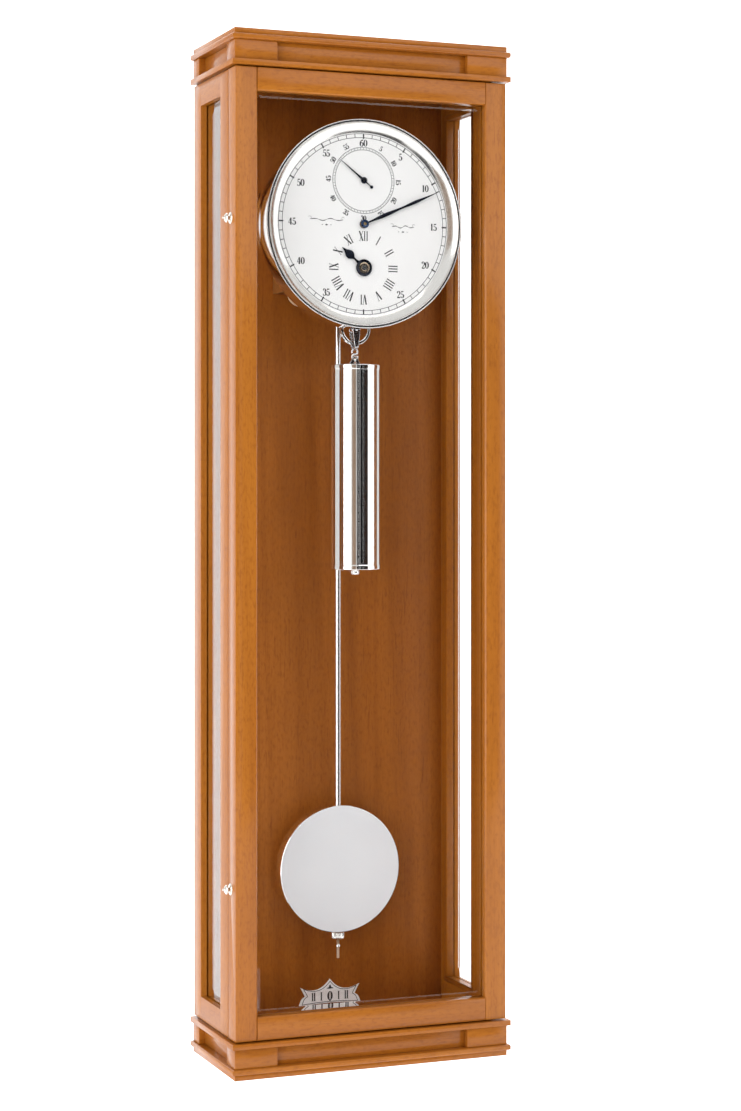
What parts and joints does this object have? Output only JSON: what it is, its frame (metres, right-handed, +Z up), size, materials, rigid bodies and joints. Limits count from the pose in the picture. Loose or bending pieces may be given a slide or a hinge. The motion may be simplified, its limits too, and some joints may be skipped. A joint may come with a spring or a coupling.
{
  "type": "pendulum wall clock",
  "caption": "Glazed wooden wall clock with a regulator dial, a weight on a pulley and a long pendulum behind a hinged door.",
  "frame": {"origin": "centre of the hanger bore, on the wall face of the back", "axes": "+X to the right of somebody facing the clock, +Y from the viewer into the wall, +Z up"},
  "size_m": [0.2898, 0.1305, 0.98],
  "materials": {
    "case_wood": "satin lacquered cherry",
    "back_wood": "satin lacquered cherry, darker",
    "case_glass": "clear, bevelled",
    "bright_metal": "polished nickel plate",
    "satin_silver": "fine brushed nickel plate",
    "steel": "polished steel",
    "brass": "satin brass",
    "dial_white": "matt white enamel",
    "blued_steel": "blued and polished"
  },
  "bodies": {
    "case": {"left_side_frame": "case_wood", "right_side_frame": "case_wood", "left_side_glass": "case_glass", "right_side_glass": "case_glass", "side_glass_beads": "case_wood", "back_panel": "back_wood", "hanger_plate": "steel", "crown_bead": "case_wood", "top_board": "case_wood", "crown_blocks": "case_wood", "crown_frieze": "case_wood", "crown_moulding": "case_wood", "crown_cap": "case_wood", "base_bead": "case_wood", "bottom_board": "case_wood", "base_blocks": "case_wood", "base_frieze": "case_wood", "base_moulding": "case_wood", "base_foot": "case_wood", "case_hinge_leaves": "brass", "hinge_pins": "brass", "dial_drum": "bright_metal", "bezel_ring": "bright_metal", "dial_plate": "dial_white", "front_plate": "brass", "back_plate": "brass", "movement_bracket": "steel", "suspension_cock": "steel", "beat_scale": "dial_white"},
    "door": {"left_door_stile": "case_wood", "right_door_stile": "case_wood", "bottom_door_rail": "case_wood", "top_door_rail": "case_wood", "door_glass": "case_glass", "door_glass_beads": "case_wood", "latch_rosettes": "bright_metal", "door_hinge_leaves": "brass"},
    "upper_latch": {"upper_latch": "bright_metal"},
    "lower_latch": {"lower_latch": "bright_metal"},
    "pendulum": {"suspension_spring": "steel", "pendulum_rod": "steel", "pendulum_bob": "satin_silver"},
    "rating_nut": {"rating_nut": "satin_silver"},
    "pallets": {"pallets": "steel"},
    "seconds_arbor": {"escape_wheel": "brass", "seconds_hand": "blued_steel"},
    "third_arbor": {"third_wheel": "brass"},
    "minute_arbor": {"centre_wheel": "brass", "minute_hand": "blued_steel"},
    "great_wheel": {"great_wheel": "brass"},
    "motion_arbor": {"minute_wheel": "brass"},
    "hour_pipe": {"hour_wheel": "brass", "hour_hand": "blued_steel"},
    "winding_drum": {"winding_drum": "brass"},
    "weight": {"weight_tube": "bright_metal", "weight_caps": "bright_metal", "weight_rod": "bright_metal", "pulley_stirrup": "bright_metal", "weight_cable": "steel"},
    "pulley": {"pulley": "bright_metal"}
  },
  "joints": [
    {"name": "door_hinge", "type": "hinge", "parent": "case", "child": "door", "pos_m": [0.141, -0.10475, -0.425], "axis": [0, 0, 1], "range_deg": [0, 110]},
    {"name": "upper_latch_turn", "type": "hinge", "parent": "door", "child": "upper_latch", "pos_m": [-0.1383, -0.1111, -0.111], "axis": [-1, 0, 0], "range_deg": [0, 90]},
    {"name": "lower_latch_turn", "type": "hinge", "parent": "door", "child": "lower_latch", "pos_m": [-0.1383, -0.1111, -0.739], "axis": [-1, 0, 0], "range_deg": [0, 90]},
    {"name": "pendulum_swing", "type": "hinge", "parent": "case", "child": "pendulum", "pos_m": [0, -0.0315, -0.047], "axis": [0, 1, 0], "range_deg": [-3, 3]},
    {"name": "rating_nut_turn", "type": "hinge", "parent": "pendulum", "child": "rating_nut", "pos_m": [0, -0.0315, -0.809], "axis": [0, 0, 1], "range_deg": [-360, 360]},
    {"name": "pallet_rock", "type": "hinge", "parent": "case", "child": "pallets", "pos_m": [0, -0.0665, -0.047], "axis": [0, 1, 0], "range_deg": [-3, 3]},
    {"name": "seconds_spin", "type": "hinge", "parent": "case", "child": "seconds_arbor", "pos_m": [0, -0.0765, -0.0681], "axis": [0, 1, 0], "continuous": true},
    {"name": "third_spin", "type": "hinge", "parent": "case", "child": "third_arbor", "pos_m": [0.01176, -0.0765, -0.0858], "axis": [0, 1, 0], "continuous": true},
    {"name": "minute_spin", "type": "hinge", "parent": "case", "child": "minute_arbor", "pos_m": [0, -0.0765, -0.1101], "axis": [0, 1, 0], "continuous": true},
    {"name": "great_wheel_spin", "type": "hinge", "parent": "case", "child": "great_wheel", "pos_m": [0, -0.0765, -0.1521], "axis": [0, 1, 0], "continuous": true},
    {"name": "motion_spin", "type": "hinge", "parent": "case", "child": "motion_arbor", "pos_m": [0.01162, -0.0765, -0.1311], "axis": [0, 1, 0], "continuous": true},
    {"name": "hour_spin", "type": "hinge", "parent": "case", "child": "hour_pipe", "pos_m": [0, -0.0765, -0.1521], "axis": [0, 1, 0], "continuous": true},
    {"name": "weight_drop", "type": "slide", "parent": "case", "child": "weight", "axis": [0, 0, -1], "range_m": [0, 0.39], "deforming": ["weight_cable"]},
    {"name": "drum_turn", "type": "hinge", "parent": "case", "child": "winding_drum", "pos_m": [0, -0.0765, -0.1521], "axis": [0, 1, 0], "range_deg": [-5260, 0]},
    {"name": "pulley_turn", "type": "hinge", "parent": "weight", "child": "pulley", "pos_m": [0, -0.0765, -0.2095], "axis": [0, 1, 0], "range_deg": [-1660, 0]}
  ],
  "couplings": [
    {"joint": "pallet_rock", "follows": "pendulum_swing", "ratio": 1},
    {"joint": "third_spin", "follows": "seconds_spin", "ratio": -0.13333},
    {"joint": "minute_spin", "follows": "seconds_spin", "ratio": 0.016667},
    {"joint": "great_wheel_spin", "follows": "seconds_spin", "ratio": -0.0013889},
    {"joint": "motion_spin", "follows": "seconds_spin", "ratio": -0.0055556},
    {"joint": "hour_spin", "follows": "seconds_spin", "ratio": 0.0013889},
    {"joint": "drum_turn", "follows": "weight_drop", "rad_per_m": -235.29},
    {"joint": "pulley_turn", "follows": "weight_drop", "rad_per_m": -74.074}
  ]
}
